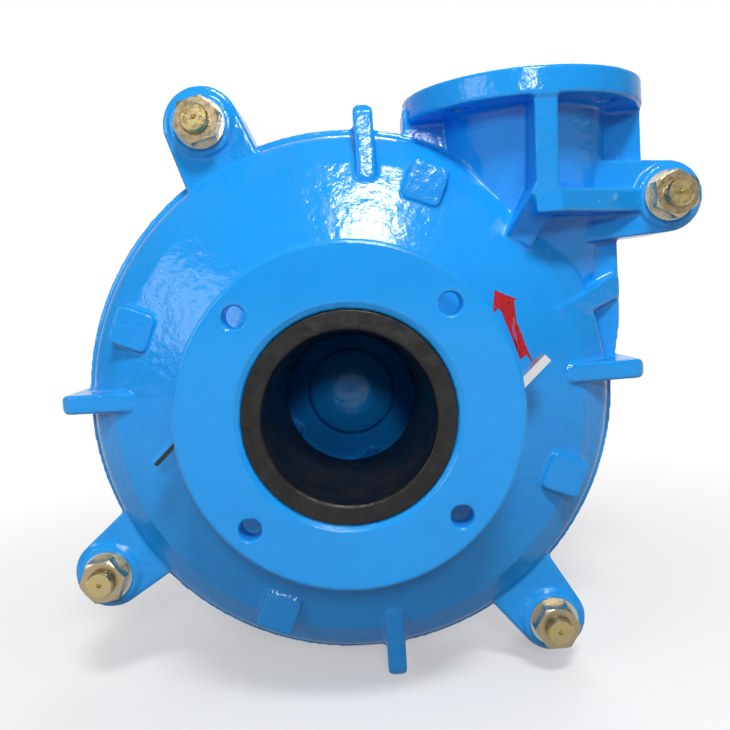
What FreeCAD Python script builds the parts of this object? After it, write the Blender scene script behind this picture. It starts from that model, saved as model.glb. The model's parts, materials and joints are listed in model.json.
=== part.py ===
import FreeCAD, Part
import math
import os

V = FreeCAD.Vector

# Horizontal slurry pump, split casing with rubber liners, cartridge bearings on a cast pedestal.
# Millimetres.  Origin: centre of the intake flange face, on the shaft axis.
# The intake faces -Y, the drive end points +Y, +Z is up and +X is to the right seen from the intake.

# ---------------------------------------------------------------- driving dimensions
FIT = 0.3              # gap between neighbouring curved faces
SHAFT_FIT = 0.05       # turned pieces on the shaft and races in the housing
SLIP = 0.1             # gap round studs and screws in plain holes

# intake flange
INTAKE_R = 152.5
INTAKE_THICK = 26.0
INTAKE_BORE_R = 76.0
INTAKE_PCD = 260.0
INTAKE_HOLE_R = 10.0
INTAKE_RING_R = 93.0
INTAKE_RING_DEEP = 22.0
RECESS_R = 98.5
RECESS_DEEP = 2.5

# cover plate (front casing half)
SPLIT_Y = 178.0
NECK_R = 117.0
NECK_END_Y = 58.0
CREASE_R = 233.0
CREASE_Y = 110.0
RIM_R = 271.5
FLANK_X = 283.0
RIM_FLANGE = 26.0
SHOULDER_R = 261.0
WALL_REAR_Y = 284.0
SPIGOT_DEEP = 20.0

# volute chamber
CHAMBER_X = 14.0
CHAMBER_Z = 10.0
CHAMBER_R = 226.0
CHAMBER_FRONT_Y = 138.0
CHAMBER_REAR_Y = 244.0
LINER = 18.0
LINER_SIDE = 22.0
THROAT_BUSH_R = 150.0

# discharge
DIS_X = 193.0
DIS_R = 121.0
DIS_TOP_Z = 298.0
DIS_THICK = 26.0
DIS_BORE_R = 51.0
DIS_PCD = 200.0
DIS_HOLE_R = 9.5
NECK_WALL = 16.0
PASSAGE_BACK = 17.0
PASSAGE_FLAT = 20.0
NECK_THIN = 8.0
NECK_LEFT_X = 70.0
NECK_RIGHT_X = 310.0
FRONT_RIB = 20.0
RIB_LEAN = 10.0
ARM_Z0 = 168.0
ARM_Z1 = 190.0
DIS_RING_R = 76.0
DIS_RING_DEEP = 8.0

# flat bars that lock the throat bush
COTTER_Y = 44.0
COTTER_WIDE = 16.0
COTTER_THICK = 8.0
COTTER_SIDE = 97.0
COTTER_OUT = 158.0
COTTER_IN = 104.0
COTTER_TURN = 47.0

# casing bolts
BOLT_R = 13.5
BOLT_XZ = ((-130.0, 281.0), (328.5, 182.0), (195.0, -246.0), (-262.0, -167.0))
LUG_R = (38.0, 35.5, 34.5, 36.0)
LUG_FRONT_Y = 134.0
BOSS_R = 31.0
BOSS_HIGH = 4.0
NUT_AF = 41.0
NUT_HIGH = 19.0
WASHER_R = 25.0
WASHER_THICK = 4.0
BOLT_OUT = 9.0
CENTRE_R = 2.4
CENTRE_DEEP = 4.0

# ribs and pads
RIB_THICK = 19.0
RIB_TIP = 286.0
RIB_TIP_RIGHT = 292.0
RIB_ROOT = 212.0
RIB_X = 29.5
RIB_Z = 14.0
RIB_FRONT_Y = 100.0
PAD = 38.0
PAD_R = 223.0
PAD_TOP_Y = 94.5

# impeller
EYE_R = 64.0
IMP_R = 182.5
IMP_FRONT_Y = 150.0
IMP_SHROUD = 14.0
IMP_REAR_Y = 230.0
IMP_PASSAGE_END_Y = 214.0
IMP_VANES = 5
VANE_THICK = 12.0
EXPEL_HIGH = 4.0
EXPEL_BARS = 6
HUB_R = 50.0
NOSE_R = 46.0
NOSE_HIGH = 43.0

# shaft and sealing
SHAFT_NOSE_R = 24.0
SHAFT_WET_R = 32.0
SLEEVE_R = 45.0
SHAFT_SEAT_R = 40.0
SHAFT_MID_R = 46.0
SHAFT_LOCK_R = 38.0
SHAFT_DRIVE_R = 35.0
SHAFT_END_Y = 960.0
SHAFT_NOSE_Y = 188.0
SHAFT_STEP_Y = 242.0
SHAFT_SEAT_Y = 410.0
SHAFT_SHOULDER = 4.0
SHAFT_LOCK_END_Y = 800.0
LOCK_THICK = 13.5
HUB_END_Y = 238.0
SLEEVE_END_Y = 402.0
KEY_Y0 = 836.0
KEY_Y1 = 946.0
KEY_WIDE = 20.0
KEY_HIGH = 12.0
KEY_DEEP = 7.5
BOX_R = 78.0
BOX_EDGE = 7.0
BOX_SPIGOT_R = 103.5
BOX_FLANGE = 14.0
BOX_NECK = 14.0
BOX_SCREW_R = 4.0
BOX_SCREW_OUT = 5.5
SCREW_DEEP = 14.0
NECK_RING = 10.0
PACK_R = 62.0
PACK_WIDE = 12.0
PACK_COUNT = 3
LANTERN_WIDE = 22.0
SLEEVE_GAP = 0.5
GLAND_STUD_X = 92.0
GLAND_STUD_R = 8.0
GLAND_DEEP = 10.0
GLAND_PLATE = 16.0
GLAND_NUT = 13.0
PIPE_R = 5.8
GLAND_TRAVEL = 18.0

# bearing cartridge
HOUSING_R = 96.0
HOUSING_Y0 = 457.0
HOUSING_Y1 = 763.0
BEARING_WIDE = 40.0
END_SPACE = 13.0
RACE_IN_R = 50.0
ROLLER_R = 6.8
ROLLER_RING_R = 57.2
RACE_OUT_R0 = 64.4
RACE_OUT_R1 = 75.0
ROLLERS = 14
END_COVER = 12.0
COVER_SCREW_IN = 10.0
COVER_SCREW_R = 4.0
COVER_STEP = 10.0
LABYRINTH_R = 58.0
EAR_THICK = 20.0
EAR_Y = (505.0, 700.0)
EAR_LONG = 54.0
CLAMP_OUT = 26.0
CLAMP_R = 8.0
SLOT_PLAY = 6.0
CLAMP_WASHER = 6.0
NIPPLE_R = 2.9

# pedestal
CENTRE_HIGH = 300.0
RING_R = 196.0
RING_CLEAR = 12.0
RING_THICK = 22.0
RING_STUD_R = 162.0
STUD_R = 10.0
STUD_DEEP = 20.0
FOOT_THICK = 22.0
FOOT_HALF = 182.0
SIDE_X = 88.0
FOOT_Y0 = 302.0
FOOT_NOSE = 122.0
FOOT_Y1 = 778.0
FOOT_BOLT_X = 152.0
FOOT_BOLT_Y = (398.0, 732.0)
FOOT_HOLE_R = 11.0
CRADLE_WALL = 22.0
WEB = 16.0
ADJ_DROP = 18.0
ADJ_R = 10.0
ADJ_Y = 585.0
ADJ_WALL = 20.0
ADJ_LUG_Y = 640.0
ADJ_LUG = 24.0
GUSSET_Y = (440.0, 565.0, 690.0)


# ---------------------------------------------------------------- places worked out from them
REAR_LUG_Y = 2 * SPLIT_Y - LUG_FRONT_Y
RING_BACK = WALL_REAR_Y + RING_THICK
DIS_UNDER_Z = DIS_TOP_Z - DIS_THICK
BOX_FRONT_Y = WALL_REAR_Y - SPIGOT_DEEP
PACK_Y0 = BOX_FRONT_Y + BOX_NECK + NECK_RING + FIT
LANTERN_Y = PACK_Y0 + PACK_WIDE
PIPE_Y = LANTERN_Y + LANTERN_WIDE / 2.0
OUTER_PACK_Y = LANTERN_Y + LANTERN_WIDE
GLAND_Y = OUTER_PACK_Y + (PACK_COUNT - 1) * PACK_WIDE
BOX_END_Y = GLAND_Y + GLAND_DEEP
GLAND_PLATE_Y = BOX_END_Y + 6.0
GLAND_NUT_Y = GLAND_PLATE_Y + GLAND_PLATE
GLAND_STUD_END_Y = GLAND_NUT_Y + GLAND_NUT + GLAND_TRAVEL + 1.0
SLEEVE_Y = SHAFT_STEP_Y + 0.2
BEARING_Y = (HOUSING_Y0 + END_SPACE, HOUSING_Y1 - END_SPACE - BEARING_WIDE)
NIPPLE_Y = [y + BEARING_WIDE / 2 for y in BEARING_Y]
LOCK_Y = BEARING_Y[1] + BEARING_WIDE + 2
WET_COVER_Y = HOUSING_Y0 - END_COVER - COVER_STEP
DRIVE_COVER_Y = HOUSING_Y1 + END_COVER + 6


# ---------------------------------------------------------------- outline helpers
def corners(points, place):
    """Closed edge list through (a, b) or (a, b, radius) points, with the corners rounded."""
    count = len(points)
    ends = []
    for i in range(count):
        here = points[i]
        a, b = here[0], here[1]
        radius = here[2] if len(here) > 2 else 0.0
        if radius == 0.0:
            ends.append(((a, b), None, (a, b)))
            continue
        before = points[i - 1]
        after = points[(i + 1) % count]
        u = FreeCAD.Vector(before[0] - a, before[1] - b, 0).normalize()
        w = FreeCAD.Vector(after[0] - a, after[1] - b, 0).normalize()
        half = u.getAngle(w) / 2.0
        run = radius / math.tan(half)
        middle = (u + w).normalize() * (radius / math.sin(half) - radius)
        ends.append(((a + u.x * run, b + u.y * run), (a + middle.x, b + middle.y),
                     (a + w.x * run, b + w.y * run)))
    edges = []
    for i in range(count):
        start, middle, stop = ends[i]
        if middle is not None:
            edges.append(Part.Arc(place(*start), place(*middle), place(*stop)).toShape())
        following = ends[(i + 1) % count][0]
        if (place(*stop) - place(*following)).Length > 1e-6:
            edges.append(Part.makeLine(place(*stop), place(*following)))
    return edges


def turned(points, x=0.0, z=0.0):
    """Solid of revolution about an axis along Y from (radius, y) points."""
    wire = Part.Wire(corners(points, lambda r, y: V(x + r, y, z)))
    return Part.Face(wire).revolve(V(x, 0, z), V(0, 1, 0), 360)


def along_y(points, y0, y1):
    """Prism along Y from (x, z) points."""
    wire = Part.Wire(corners(points, lambda a, b: V(a, y0, b)))
    return Part.Face(wire).extrude(V(0, y1 - y0, 0))


def along_x(points, x0, x1):
    """Prism along X from (y, z) points."""
    wire = Part.Wire(corners(points, lambda a, b: V(x0, a, b)))
    return Part.Face(wire).extrude(V(x1 - x0, 0, 0))


def along_z(points, z0, z1):
    """Prism along Z from (x, y) points."""
    wire = Part.Wire(corners(points, lambda a, b: V(a, b, z0)))
    return Part.Face(wire).extrude(V(0, 0, z1 - z0))


def rod(radius, y0, y1, x=0.0, z=0.0):
    return Part.makeCylinder(radius, y1 - y0, V(x, y0, z), V(0, 1, 0))


def post(radius, z0, z1, x=0.0, y=0.0):
    return Part.makeCylinder(radius, z1 - z0, V(x, y, z0), V(0, 0, 1))


def tube(outer, inner, y0, y1, x=0.0, z=0.0):
    return rod(outer, y0, y1, x, z).cut(rod(inner, y0 - 1, y1 + 1, x, z))


def block(x0, x1, y0, y1, z0, z1):
    return Part.makeBox(x1 - x0, y1 - y0, z1 - z0, V(x0, y0, z0))


def six_points(across, a, b, turn=0.0):
    reach = across / math.sqrt(3.0)
    turns = [math.radians(turn + 60.0 * i) for i in range(6)]
    return [(a + reach * math.cos(t), b + reach * math.sin(t)) for t in turns]


def hexagon(across, y0, y1, x, z, hole, turn=0.0, bevel=1.6):
    """Hexagon nut along Y with both end faces chamfered."""
    reach = across / math.sqrt(3.0)
    dome = turned([(0, y0), (across / 2.0, y0), (reach + 0.1, y0 + bevel),
                   (reach + 0.1, y1 - bevel), (across / 2.0, y1), (0, y1)], x, z)
    return along_y(six_points(across, x, z, turn), y0, y1).common(dome).cut(rod(hole, y0 - 1, y1 + 1, x, z))


def hexagon_plain(across, y0, y1, x, z):
    return along_y(six_points(across, x, z), y0, y1)


def hexagon_z(across, z0, z1, x, y, hole):
    nut = along_z(six_points(across, x, y), z0, z1)
    if hole:
        nut = nut.cut(post(hole, z0 - 1, z1 + 1, x, y))
    return nut


def oval(x, y, z, half_x, half_y):
    """Level oval wire."""
    shape = Part.Ellipse(V(0, 0, 0), max(half_x, half_y), min(half_x, half_y)).toShape()
    if half_y > half_x:
        shape.rotate(V(0, 0, 0), V(0, 0, 1), 90)
    shape.translate(V(x, y, z))
    return Part.Wire(shape)


def join(first, *others):
    body = first
    for other in others:
        body = body.fuse(other)
    return body.removeSplitter()


def rest(shapes):
    """Several equal loose solids kept together in one file."""
    return Part.makeCompound(shapes)


def spun(shape, angle):
    copy = shape.copy()
    copy.rotate(V(0, 0, 0), V(0, 1, 0), angle)
    return copy


def around(radius, count, start=0.0):
    """(x, z) places on a circle about the shaft axis."""
    turns = [math.radians(start + 360.0 * i / count) for i in range(count)]
    return [(radius * math.cos(a), radius * math.sin(a)) for a in turns]


def drilled(body, radius, places, y0, y1):
    """The body with plain holes along Y at (x, z) places."""
    for x, z in places:
        body = body.cut(rod(radius, y0, y1, x, z))
    return body


def drilled_z(body, radius, places, z0, z1):
    """The body with plain holes along Z at (x, y) places."""
    for x, y in places:
        body = body.cut(post(radius, z0, z1, x, y))
    return body


INTAKE_HOLES = around(INTAKE_PCD / 2.0, 4, 45)
DISCHARGE_HOLES = [(DIS_X + x, SPLIT_Y + z) for x, z in around(DIS_PCD / 2.0, 4, 45)]
CLAMP_X = HOUSING_R + CLAMP_OUT
CRADLE_R = HOUSING_R + CRADLE_WALL
ADJ_Z = -CRADLE_R - ADJ_DROP
BOX_SCREW_RING_R = BOX_SPIGOT_R + BOX_SCREW_OUT
BOX_FLANGE_R = BOX_SCREW_RING_R + BOX_EDGE
RING_IN_R = BOX_FLANGE_R + RING_CLEAR
RING_XZ = around(RING_STUD_R, 6, 30)
BOX_SCREW_XZ = around(BOX_SCREW_RING_R, 4, 45)
COVER_SCREW_XZ = around(HOUSING_R - COVER_SCREW_IN, 6, 30)


PARTS = {}


# ---------------------------------------------------------------- casing halves
def passage(grow, z0=96.0, z1=DIS_TOP_Z + 1.0, thin=0.0):
    """Discharge passage from the chamber up to the flange, widened all round by grow.
    Its lower end is a flattened oval set back behind the split, and thin takes some more off its depth."""
    wide = DIS_BORE_R + grow
    low = oval(DIS_X, SPLIT_Y + PASSAGE_BACK, z0, wide, wide + 2.0 - PASSAGE_FLAT - thin)
    high = Part.Wire(Part.Circle(V(DIS_X, SPLIT_Y, DIS_UNDER_Z), V(0, 0, 1), wide).toShape())
    bend = Part.makeLoft([low, high], True, False)
    return bend.fuse(post(wide, DIS_UNDER_Z, z1, DIS_X, SPLIT_Y))


def chamber_space(grow_r, grow_front, grow_rear):
    """Volute disc set off the shaft axis, widened by the given amounts."""
    r = CHAMBER_R + grow_r
    front = CHAMBER_FRONT_Y - grow_front
    rear = CHAMBER_REAR_Y + grow_rear
    return turned([(0, front), (r - 38, front, 14), (r - 10, front + 17, 22), (r, front + 38, 20),
                   (r, rear - 26, 16), (r - 26, rear, 16), (0, rear)], CHAMBER_X, CHAMBER_Z)


LINER_SPACE = join(chamber_space(LINER, LINER_SIDE, LINER_SIDE - 2), passage(LINER))
LINER_SEAT = join(chamber_space(LINER + FIT, LINER_SIDE + FIT, LINER_SIDE - 2 + FIT), passage(LINER + FIT))
WET_SPACE = join(chamber_space(0, 0, 0), passage(0, z1=DIS_TOP_Z + 5))


def arm(tip, joins, y0, y1, radius):
    """Bolt lug: round tip and straight flanks running to the two points where it meets the rim."""
    x, z = tip
    cx = (joins[0][0] + joins[1][0]) / 2.0
    cz = (joins[0][1] + joins[1][1]) / 2.0
    way = V(cx - x, 0, cz - z).normalize()
    side = V(-way.z, 0, way.x)
    inner = [V(j[0], 0, j[1]) + way * 40.0 for j in joins]
    if (inner[0] - inner[1]).dot(side) < 0:
        inner.reverse()
    a = V(x, 0, z) + side * radius
    b = V(x, 0, z) - side * radius
    plate = along_y([(a.x, a.z), (inner[0].x, inner[0].z), (inner[1].x, inner[1].z), (b.x, b.z)], y0, y1)
    return rod(radius, y0, y1, x, z).fuse(plate)


LUG_JOINS = (((-153.0, 222.0), (-76.0, 257.0)), ((262.0, 224.0), (262.0, 140.0)),
             ((209.0, -196.0), (136.0, -233.0)), ((-248.0, -104.0), (-206.0, -178.0)))


def lugs(y0, y1):
    return [arm(BOLT_XZ[i], LUG_JOINS[i], y0, y1, LUG_R[i]) for i in range(4)]


def rib_plates(y0, y1, lead):
    """The four ribs across the rim: rounded tips, their front edge sloping back by lead towards the tip."""
    half = RIB_THICK / 2.0
    plates = []
    for x, rise in ((RIB_X, 1), (RIB_X, -1)):
        plan = along_y([(x - half, rise * RIB_ROOT, half - 0.1), (x + half, rise * RIB_ROOT, half - 0.1),
                        (x + half, rise * RIB_TIP, 7), (x - half, rise * RIB_TIP, 7)], y0, y1)
        side = along_x([(y0, rise * (RIB_ROOT - 1)), (y0 + lead, rise * (RIB_TIP + 1), 14), (y1, rise * (RIB_TIP + 1)),
                        (y1, rise * (RIB_ROOT - 1))], x - half - 1, x + half + 1)
        plates.append(plan.common(side))
    z = RIB_Z
    for rise, tip in ((1, RIB_TIP_RIGHT), (-1, RIB_TIP)):
        plan = along_y([(rise * RIB_ROOT, z - half, half - 0.1), (rise * tip, z - half, 7),
                        (rise * tip, z + half, 7), (rise * RIB_ROOT, z + half, half - 0.1)], y0, y1)
        side = along_z([(rise * (RIB_ROOT - 1), y0), (rise * (tip + 1), y0 + lead, 14), (rise * (tip + 1), y1),
                        (rise * (RIB_ROOT - 1), y1)], z - half - 1, z + half + 1)
        plates.append(plan.common(side))
    return plates


def rim_outline(y0, y1):
    """Split-joint flange: round rim, straight flank on the discharge side and the neck ears."""
    disc = rod(RIM_R, y0, y1)
    flank = along_y([(170, -60), (254, -95), (FLANK_X, 60, 160), (FLANK_X, 232, 12), (170, 232)], y0, y1)
    neck = along_y([(NECK_LEFT_X, 180), (NECK_RIGHT_X, 180), (NECK_RIGHT_X, DIS_TOP_Z - 12),
                    (NECK_LEFT_X, DIS_TOP_Z - 12)], y0, y1)
    return join(disc, flank, neck)


def discharge_flange():
    plate = post(DIS_R, DIS_UNDER_Z, DIS_TOP_Z, DIS_X, SPLIT_Y)
    return drilled_z(plate, DIS_HOLE_R, DISCHARGE_HOLES, DIS_UNDER_Z - 1, DIS_TOP_Z + 1)


def neck_core():
    """Round neck of the discharge, starting behind the dish."""
    core = passage(LINER + FIT + NECK_WALL, z0=82.0, z1=DIS_TOP_Z - 6, thin=NECK_THIN)
    before_dish = turned([(0, -10), (CREASE_R + 2, -10), (CREASE_R + 2, CREASE_Y), (NECK_R + 14, NECK_END_Y + 10),
                          (0, NECK_END_Y + 10)])
    return core.cut(before_dish)


def half_space(front):
    if front:
        return block(-600, 600, -200, SPLIT_Y, -600, 600)
    return block(-600, 600, SPLIT_Y, 1200, -600, 600)


def pads():
    """Raised square pads on the dish, set off the vertical and horizontal."""
    shapes = []
    for angle in (67.5, 157.5, 247.5, 337.5):
        pad = along_y([(PAD_R - PAD / 2, -PAD / 2, 6), (PAD_R + PAD / 2, -PAD / 2, 6),
                       (PAD_R + PAD / 2, PAD / 2, 6), (PAD_R - PAD / 2, PAD / 2, 6)], PAD_TOP_Y, 128)
        shapes.append(spun(pad, -angle))
    return shapes


def cover_plate():
    dish = turned([(0, 30), (NECK_R, 30), (NECK_R, NECK_END_Y, 10), (NECK_R + 14, NECK_END_Y + 10, 16),
                   (CREASE_R, CREASE_Y, 5), (SHOULDER_R, CREASE_Y + 22, 26), (SHOULDER_R + 6, SPLIT_Y - 20),
                   (SHOULDER_R + 6, SPLIT_Y), (0, SPLIT_Y)])
    flange = turned([(0, 0), (INTAKE_R, 0, 2), (INTAKE_R, INTAKE_THICK, 3), (NECK_R, INTAKE_THICK + 4),
                     (NECK_R, NECK_END_Y), (0, NECK_END_Y)])
    body = join(dish, flange, rim_outline(SPLIT_Y - RIM_FLANGE, SPLIT_Y))
    body = join(body, *lugs(LUG_FRONT_Y, SPLIT_Y))
    body = join(body, *[rod(BOSS_R, LUG_FRONT_Y - BOSS_HIGH, LUG_FRONT_Y + 1, x, z) for x, z in BOLT_XZ])
    body = join(body, *rib_plates(RIB_FRONT_Y, SPLIT_Y, 6))
    body = join(body, *pads())
    # discharge neck: core, Y-shaped rib, arm to the upper lug, lower slanting rib
    face = SPLIT_Y - DIS_R + 1
    half = FRONT_RIB / 2.0
    right = DIS_X + half + 2
    low = face + RIB_LEAN
    upright = along_x([(face, DIS_UNDER_Z + 12), (low, ARM_Z0 + 16), (CREASE_Y + 26, ARM_Z0 - 8),
                       (CREASE_Y + 40, ARM_Z0 + 16), (CREASE_Y + 30, DIS_UNDER_Z + 12)], DIS_X - half, right)
    leg = along_y([(DIS_X - half, ARM_Z1 + 6), (right, ARM_Z1 - 2), (right, ARM_Z0 + 4), (184, 138), (160, 152)],
                  low, 150)
    leg = leg.cut(along_x([(face - 8, 130), (face - 8, 186), (low, 186), (CREASE_Y - 7, 150),
                           (CREASE_Y - 7, 130)], 140, 230))
    reach = along_z([(DIS_X - half, low), (right + 2, low), (FLANK_X + 23, LUG_FRONT_Y - 1), (FLANK_X + 23, 160),
                     (DIS_X - half, 160)], ARM_Z0, ARM_Z1)
    slant = along_y([(207, 77), (217, 62), (FLANK_X - 1, 84, 6), (FLANK_X - 1, 111, 6)], 101, SPLIT_Y)
    slant = slant.cut(along_z([(200, 98), (FLANK_X + 4, 152), (FLANK_X + 4, 90), (200, 90)], 50, 125))
    body = join(body, neck_core(), upright, leg, reach, slant)
    body = join(body, discharge_flange())
    body = body.common(half_space(True))
    # hollow inside
    body = body.cut(LINER_SEAT)
    body = body.cut(rod(INTAKE_RING_R + FIT, -1, 130))
    body = body.cut(turned([(0, -1), (RECESS_R, -1), (RECESS_R, RECESS_DEEP, 1), (0, RECESS_DEEP)]))
    body = drilled(body, INTAKE_HOLE_R, INTAKE_HOLES, -1, INTAKE_THICK + 6)
    body = drilled(body, BOLT_R + SLIP, BOLT_XZ, 100, SPLIT_Y + 1)
    body = body.cut(post(DIS_RING_R + FIT, DIS_TOP_Z - DIS_RING_DEEP, DIS_TOP_Z + 1, DIS_X, SPLIT_Y))
    for slot in cotter_bars(FIT):
        body = body.cut(slot)
    return body


def cotter_bars(grow):
    """Two flat bars crossing the intake neck, either side of the throat bush tube."""
    bars = []
    for side in (-1, 1):
        x = side * COTTER_SIDE
        z0, z1 = sorted((side * (COTTER_OUT + grow), -side * (COTTER_IN + grow)))
        bar = block(x - COTTER_THICK / 2 - grow, x + COTTER_THICK / 2 + grow,
                    COTTER_Y - grow, COTTER_Y + COTTER_WIDE + grow, z0, z1)
        bars.append(spun(bar, COTTER_TURN))
    return bars


def frame_plate():
    bowl = turned([(0, SPLIT_Y), (SHOULDER_R + 6, SPLIT_Y), (SHOULDER_R + 2, SPLIT_Y + 34, 20),
                   (SHOULDER_R - 18, WALL_REAR_Y - 14, 24), (212, WALL_REAR_Y, 10), (0, WALL_REAR_Y)],
                  CHAMBER_X / 2, CHAMBER_Z / 2)
    body = join(bowl, rim_outline(SPLIT_Y, SPLIT_Y + RIM_FLANGE))
    body = join(body, *lugs(SPLIT_Y, REAR_LUG_Y))
    body = join(body, *rib_plates(SPLIT_Y, SPLIT_Y + 58, 0.01))
    half = FRONT_RIB / 2.0
    back = SPLIT_Y + DIS_R
    upright = along_x([(back - 1, DIS_UNDER_Z + 12), (back - 1, 200), (WALL_REAR_Y - 16, 150), (220, 150),
                       (220, DIS_UNDER_Z + 12)], DIS_X - half, DIS_X + half)
    pad = turned([(0, WALL_REAR_Y - 6), (RING_R, WALL_REAR_Y - 6), (RING_R, WALL_REAR_Y), (0, WALL_REAR_Y)])
    web = along_y([(-6, 190), (6, 190), (6, 258), (-6, 258)], 230, WALL_REAR_Y - 20)
    webs = [spun(web, a) for a in (120, 165, 210, 255, 300)]
    body = join(body, neck_core(), upright, pad, *webs)
    body = join(body, discharge_flange())
    body = body.common(half_space(False))
    body = body.cut(LINER_SEAT)
    body = body.cut(rod(BOX_SPIGOT_R + SLIP, 200, WALL_REAR_Y + 1))
    body = drilled(body, BOLT_R + SLIP, BOLT_XZ, SPLIT_Y - 1, REAR_LUG_Y + 1)
    body = drilled(body, STUD_R + SLIP, RING_XZ, WALL_REAR_Y - STUD_DEEP - 2, WALL_REAR_Y + 1)
    body = drilled(body, BOX_SCREW_R + SLIP, BOX_SCREW_XZ, WALL_REAR_Y - SCREW_DEEP - 2, WALL_REAR_Y + 1)
    body = body.cut(post(DIS_RING_R + FIT, DIS_TOP_Z - DIS_RING_DEEP, DIS_TOP_Z + 1, DIS_X, SPLIT_Y))
    return body


PARTS["cover_plate"] = cover_plate()
PARTS["frame_plate"] = frame_plate()


# ---------------------------------------------------------------- liners
def liner(front):
    body = LINER_SPACE.cut(WET_SPACE).common(half_space(front))
    if front:
        body = body.cut(rod(THROAT_BUSH_R + FIT, 80, SPLIT_Y))
    else:
        body = body.cut(rod(THROAT_BUSH_R + FIT, SPLIT_Y, 290))
    body = body.cut(post(200, DIS_TOP_Z - DIS_RING_DEEP, DIS_TOP_Z + 9, DIS_X, SPLIT_Y))
    return body


PARTS["cover_plate_liner"] = liner(True)
PARTS["frame_plate_liner"] = liner(False)

PARTS["throat_bush"] = turned([
    (INTAKE_BORE_R, INTAKE_RING_DEEP), (INTAKE_RING_R - 1, INTAKE_RING_DEEP),
    (INTAKE_RING_R - 1, CHAMBER_FRONT_Y - LINER_SIDE), (THROAT_BUSH_R, CHAMBER_FRONT_Y - LINER_SIDE),
    (THROAT_BUSH_R, CHAMBER_FRONT_Y + 4), (EYE_R, CHAMBER_FRONT_Y + 4, 5)])
for slot in cotter_bars(FIT):
    PARTS["throat_bush"] = PARTS["throat_bush"].cut(slot)

PARTS["intake_joint_ring"] = turned([
    (INTAKE_BORE_R - 1, 0, 4), (INTAKE_RING_R, 0, 1.5), (INTAKE_RING_R, INTAKE_RING_DEEP),
    (INTAKE_BORE_R - 1, INTAKE_RING_DEEP)])

PARTS["discharge_joint_ring"] = post(DIS_RING_R, DIS_TOP_Z - DIS_RING_DEEP, DIS_TOP_Z, DIS_X, SPLIT_Y).cut(
    post(DIS_BORE_R, 200, 400, DIS_X, SPLIT_Y))

PARTS["frame_liner_insert"] = tube(THROAT_BUSH_R, SLEEVE_R + 6, CHAMBER_REAR_Y, CHAMBER_REAR_Y + 18)

PARTS["throat_cotters"] = rest(cotter_bars(0.0))


# ---------------------------------------------------------------- casing bolts
def casing_bolts():
    shapes = []
    end = BOLT_R - 1.5
    front = LUG_FRONT_Y - BOSS_HIGH - WASHER_THICK - NUT_HIGH - BOLT_OUT
    rear = REAR_LUG_Y + WASHER_THICK + NUT_HIGH + BOLT_OUT
    for x, z in BOLT_XZ:
        bolt = turned([(0, front + CENTRE_DEEP), (CENTRE_R / 2, front + CENTRE_DEEP - 1.5), (CENTRE_R, front),
                       (end, front), (BOLT_R, front + 2), (BOLT_R, rear - 2), (end, rear), (0, rear)], x, z)
        shapes.append(bolt)
    return rest(shapes)


def casing_nuts():
    front = LUG_FRONT_Y - BOSS_HIGH - WASHER_THICK
    rear = REAR_LUG_Y + WASHER_THICK
    turns = (14.0, 30.0, 0.0, 8.0)
    shapes = []
    for (x, z), turn in zip(BOLT_XZ, turns):
        shapes.append(hexagon(NUT_AF, front - NUT_HIGH, front, x, z, BOLT_R + SLIP, turn))
        shapes.append(hexagon(NUT_AF, rear, rear + NUT_HIGH, x, z, BOLT_R + SLIP, turn))
    return rest(shapes)


def casing_washers():
    front = LUG_FRONT_Y - BOSS_HIGH
    shapes = []
    for x, z in BOLT_XZ:
        shapes.append(tube(WASHER_R, BOLT_R + SLIP, front - WASHER_THICK, front, x, z))
        shapes.append(tube(WASHER_R, BOLT_R + SLIP, REAR_LUG_Y, REAR_LUG_Y + WASHER_THICK, x, z))
    return rest(shapes)


PARTS["cover_plate_bolts"] = casing_bolts()
PARTS["cover_plate_nuts"] = casing_nuts()
PARTS["cover_plate_washers"] = casing_washers()


# ---------------------------------------------------------------- impeller
def vane():
    """One backward-curved vane between the shrouds."""
    inner, outer = 72.0, IMP_R - 1
    steps = 9
    left = []
    right = []
    for i in range(steps):
        t = i / (steps - 1.0)
        r = inner + (outer - inner) * t
        a = math.radians(-105.0 * t ** 0.85)
        thick = VANE_THICK * (0.75 + 0.6 * t * (1 - t) + 0.25 * t)
        slope = math.atan2(1.0, 1.05)
        nx = math.cos(a + slope)
        nz = math.sin(a + slope)
        left.append(V(r * math.cos(a) + nx * thick / 2, 0, r * math.sin(a) + nz * thick / 2))
        right.append(V(r * math.cos(a) - nx * thick / 2, 0, r * math.sin(a) - nz * thick / 2))
    one = Part.BSplineCurve()
    one.interpolate(left)
    two = Part.BSplineCurve()
    two.interpolate(right)
    wire = Part.Wire([one.toShape(), Part.makeLine(left[-1], right[-1]),
                      two.toShape(), Part.makeLine(right[0], left[0])])
    face = Part.Face(wire)
    face.translate(V(0, IMP_FRONT_Y + 6, 0))
    return face.extrude(V(0, IMP_PASSAGE_END_Y - IMP_FRONT_Y, 0))


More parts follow.
